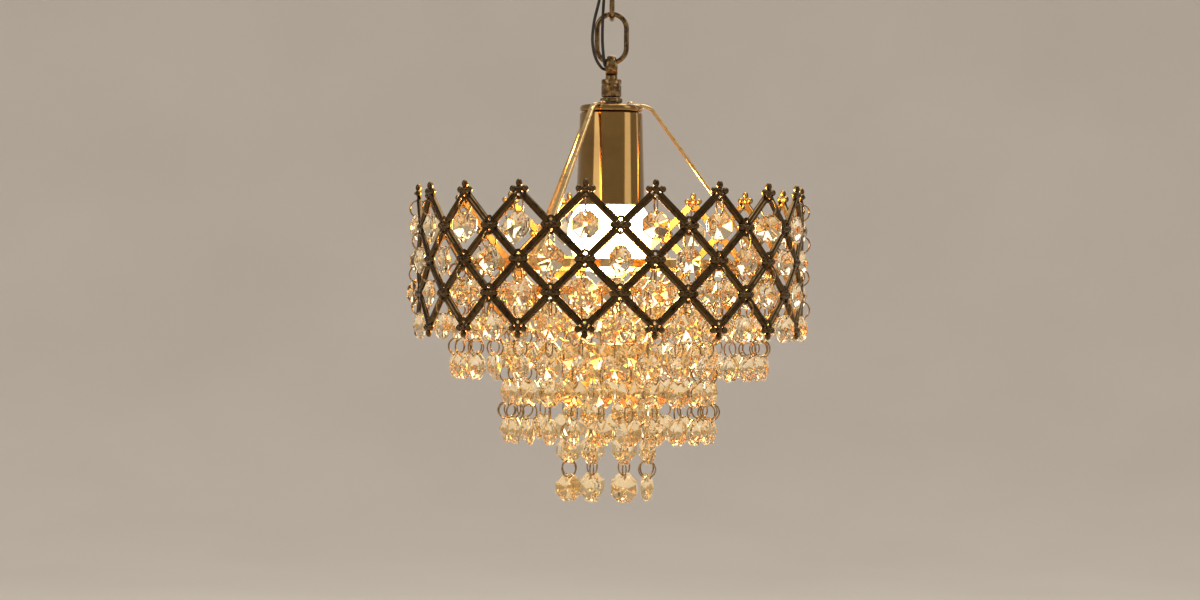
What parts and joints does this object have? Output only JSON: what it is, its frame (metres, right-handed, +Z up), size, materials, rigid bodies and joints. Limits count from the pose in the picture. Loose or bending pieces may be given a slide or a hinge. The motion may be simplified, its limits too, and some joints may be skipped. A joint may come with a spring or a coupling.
{
  "type": "miniature chandelier",
  "caption": "Small pendant chandelier: a drum of brass diamonds hung with faceted crystals, stepped strings of crystals below, one globe bulb in a cone cup, on a short chain.",
  "frame": {"origin": "centre of the ceiling bracket's flat top face, which rests on the ceiling", "axes": "+Z up into the ceiling, -Y towards the viewer, +X to the viewer's right"},
  "size_m": [0.2066, 0.2066, 0.3116],
  "materials": {
    "brass": "polished, lightly worn",
    "crystal": "cut and polished",
    "steel": "zinc plated",
    "ceramic": "glazed",
    "opal_glass": "opal, lit",
    "cable_sheath": "smooth flexible sheath"
  },
  "bodies": {
    "canopy": {"ceiling_bracket": "steel", "ceiling_canopy": "brass", "canopy_screw_1": "brass", "canopy_screw_2": "brass", "canopy_loop": "brass", "canopy_nut": "steel"},
    "upper_link": {"chain_link_upper": "brass"},
    "lower_link": {"chain_link_lower": "brass"},
    "lamp": {"suspension_loop": "brass", "loop_collar": "brass", "collar_flange": "brass", "threaded_nipple": "steel", "nipple_nut": "steel", "cup_cap": "brass", "socket_cup": "brass", "lampholder_body": "ceramic", "lampholder_shell": "brass", "lampholder_contact": "brass", "arm_1": "brass", "arm_2": "brass", "arm_3": "brass", "arm_screw_1": "brass", "arm_screw_2": "brass", "arm_screw_3": "brass", "crown_bracket_1": "brass", "crown_bracket_2": "brass", "crown_bracket_3": "brass", "tier_strut_1": "brass", "tier_strut_2": "brass", "tier_strut_3": "brass", "tier_1_ring": "brass", "tier_2_ring": "brass", "tier_3_ring": "brass", "crown_lattice": "brass", "crown_crystals_row_1": "crystal", "crown_crystals_row_2": "crystal", "crown_crystals_row_3": "crystal", "crown_crystals_row_4": "crystal", "power_cable": "cable_sheath"},
    "bulb": {"bulb_globe": "opal_glass", "bulb_cap": "steel"},
    "tier_1_strings_1": {"tier_1_strings_1": "crystal"},
    "tier_1_strings_2": {"tier_1_strings_2": "crystal"},
    "tier_1_strings_3": {"tier_1_strings_3": "crystal"},
    "tier_1_strings_4": {"tier_1_strings_4": "crystal"},
    "tier_1_strings_5": {"tier_1_strings_5": "crystal"},
    "tier_2_strings_1": {"tier_2_strings_1": "crystal"},
    "tier_2_strings_2": {"tier_2_strings_2": "crystal"},
    "tier_2_strings_3": {"tier_2_strings_3": "crystal"},
    "tier_2_strings_4": {"tier_2_strings_4": "crystal"},
    "tier_2_strings_5": {"tier_2_strings_5": "crystal"},
    "tier_2_strings_6": {"tier_2_strings_6": "crystal"},
    "tier_3_string_1": {"tier_3_string_1": "crystal"},
    "tier_3_string_2": {"tier_3_string_2": "crystal"},
    "tier_3_string_3": {"tier_3_string_3": "crystal"},
    "tier_3_string_4": {"tier_3_string_4": "crystal"},
    "tier_3_string_5": {"tier_3_string_5": "crystal"},
    "tier_3_string_6": {"tier_3_string_6": "crystal"},
    "tier_3_string_7": {"tier_3_string_7": "crystal"},
    "tier_3_string_8": {"tier_3_string_8": "crystal"}
  },
  "joints": [
    {"name": "upper_link_swing", "type": "hinge", "parent": "canopy", "child": "upper_link", "pos_m": [0, 0, -0.038], "axis": [1, 0, 0], "range_deg": [-18, 18]},
    {"name": "lower_link_swing", "type": "hinge", "parent": "upper_link", "child": "lower_link", "pos_m": [0, 0, -0.0606], "axis": [0, 1, 0], "range_deg": [-18, 18]},
    {"name": "lamp_swing", "type": "hinge", "parent": "lower_link", "child": "lamp", "pos_m": [0, 0, -0.0832], "axis": [1, 0, 0], "range_deg": [-14, 14], "deforming": ["power_cable"]},
    {"name": "bulb_release", "type": "slide", "parent": "lamp", "child": "bulb", "axis": [0, 0, 1], "range_m": [-0.022, 0], "stiffness_N_per_m": 400},
    {"name": "tier_1_strings_1_swing", "type": "hinge", "parent": "lamp", "child": "tier_1_strings_1", "pos_m": [0.03973, -0.06358, -0.1917], "axis": [-0.848, -0.5299, 0], "range_deg": [-2, 8]},
    {"name": "tier_1_strings_2_swing", "type": "hinge", "parent": "lamp", "child": "tier_1_strings_2", "pos_m": [0.07275, 0.01814, -0.1917], "axis": [0.2419, -0.9703, 0], "range_deg": [-2, 8]},
    {"name": "tier_1_strings_3_swing", "type": "hinge", "parent": "lamp", "child": "tier_1_strings_3", "pos_m": [0.00523, 0.07479, -0.1917], "axis": [0.9976, -0.0698, 0], "range_deg": [-2, 8]},
    {"name": "tier_1_strings_4_swing", "type": "hinge", "parent": "lamp", "child": "tier_1_strings_4", "pos_m": [-0.06952, 0.02809, -0.1917], "axis": [0.3746, 0.9272, 0], "range_deg": [-2, 8]},
    {"name": "tier_1_strings_5_swing", "type": "hinge", "parent": "lamp", "child": "tier_1_strings_5", "pos_m": [-0.04819, -0.05743, -0.1917], "axis": [-0.766, 0.6428, 0], "range_deg": [-2, 8]},
    {"name": "tier_2_strings_1_swing", "type": "hinge", "parent": "lamp", "child": "tier_2_strings_1", "pos_m": [0.02828, -0.04272, -0.2046], "axis": [-0.8339, -0.5519, 0], "range_deg": [-0.2, 8]},
    {"name": "tier_2_strings_2_swing", "type": "hinge", "parent": "lamp", "child": "tier_2_strings_2", "pos_m": [0.05114, 0.00313, -0.2046], "axis": [0.061, -0.9981, 0], "range_deg": [-0.2, 8]},
    {"name": "tier_2_strings_3_swing", "type": "hinge", "parent": "lamp", "child": "tier_2_strings_3", "pos_m": [0.02286, 0.04585, -0.2046], "axis": [0.8949, -0.4462, 0], "range_deg": [-0.2, 8]},
    {"name": "tier_2_strings_4_swing", "type": "hinge", "parent": "lamp", "child": "tier_2_strings_4", "pos_m": [-0.02828, 0.04272, -0.2046], "axis": [0.8339, 0.5519, 0], "range_deg": [-0.2, 8]},
    {"name": "tier_2_strings_5_swing", "type": "hinge", "parent": "lamp", "child": "tier_2_strings_5", "pos_m": [-0.05114, -0.00313, -0.2046], "axis": [-0.061, 0.9981, 0], "range_deg": [-0.2, 8]},
    {"name": "tier_2_strings_6_swing", "type": "hinge", "parent": "lamp", "child": "tier_2_strings_6", "pos_m": [-0.02286, -0.04585, -0.2046], "axis": [-0.8949, 0.4462, 0], "range_deg": [-0.2, 8]},
    {"name": "tier_3_string_1_swing", "type": "hinge", "parent": "lamp", "child": "tier_3_string_1", "pos_m": [0.00842, -0.02032, -0.2346], "axis": [-0.9239, -0.3827, 0], "range_deg": [-1.5, 9]},
    {"name": "tier_3_string_2_swing", "type": "hinge", "parent": "lamp", "child": "tier_3_string_2", "pos_m": [0.02032, -0.00842, -0.2346], "axis": [-0.3827, -0.9239, 0], "range_deg": [-1.5, 9]},
    {"name": "tier_3_string_3_swing", "type": "hinge", "parent": "lamp", "child": "tier_3_string_3", "pos_m": [0.02032, 0.00842, -0.2346], "axis": [0.3827, -0.9239, 0], "range_deg": [-1.5, 9]},
    {"name": "tier_3_string_4_swing", "type": "hinge", "parent": "lamp", "child": "tier_3_string_4", "pos_m": [0.00842, 0.02032, -0.2346], "axis": [0.9239, -0.3827, 0], "range_deg": [-1.5, 9]},
    {"name": "tier_3_string_5_swing", "type": "hinge", "parent": "lamp", "child": "tier_3_string_5", "pos_m": [-0.00842, 0.02032, -0.2346], "axis": [0.9239, 0.3827, 0], "range_deg": [-1.5, 9]},
    {"name": "tier_3_string_6_swing", "type": "hinge", "parent": "lamp", "child": "tier_3_string_6", "pos_m": [-0.02032, 0.00842, -0.2346], "axis": [0.3827, 0.9239, 0], "range_deg": [-1.5, 9]},
    {"name": "tier_3_string_7_swing", "type": "hinge", "parent": "lamp", "child": "tier_3_string_7", "pos_m": [-0.02032, -0.00842, -0.2346], "axis": [-0.3827, 0.9239, 0], "range_deg": [-1.5, 9]},
    {"name": "tier_3_string_8_swing", "type": "hinge", "parent": "lamp", "child": "tier_3_string_8", "pos_m": [-0.00842, -0.02032, -0.2346], "axis": [-0.9239, 0.3827, 0], "range_deg": [-1.5, 9]}
  ]
}
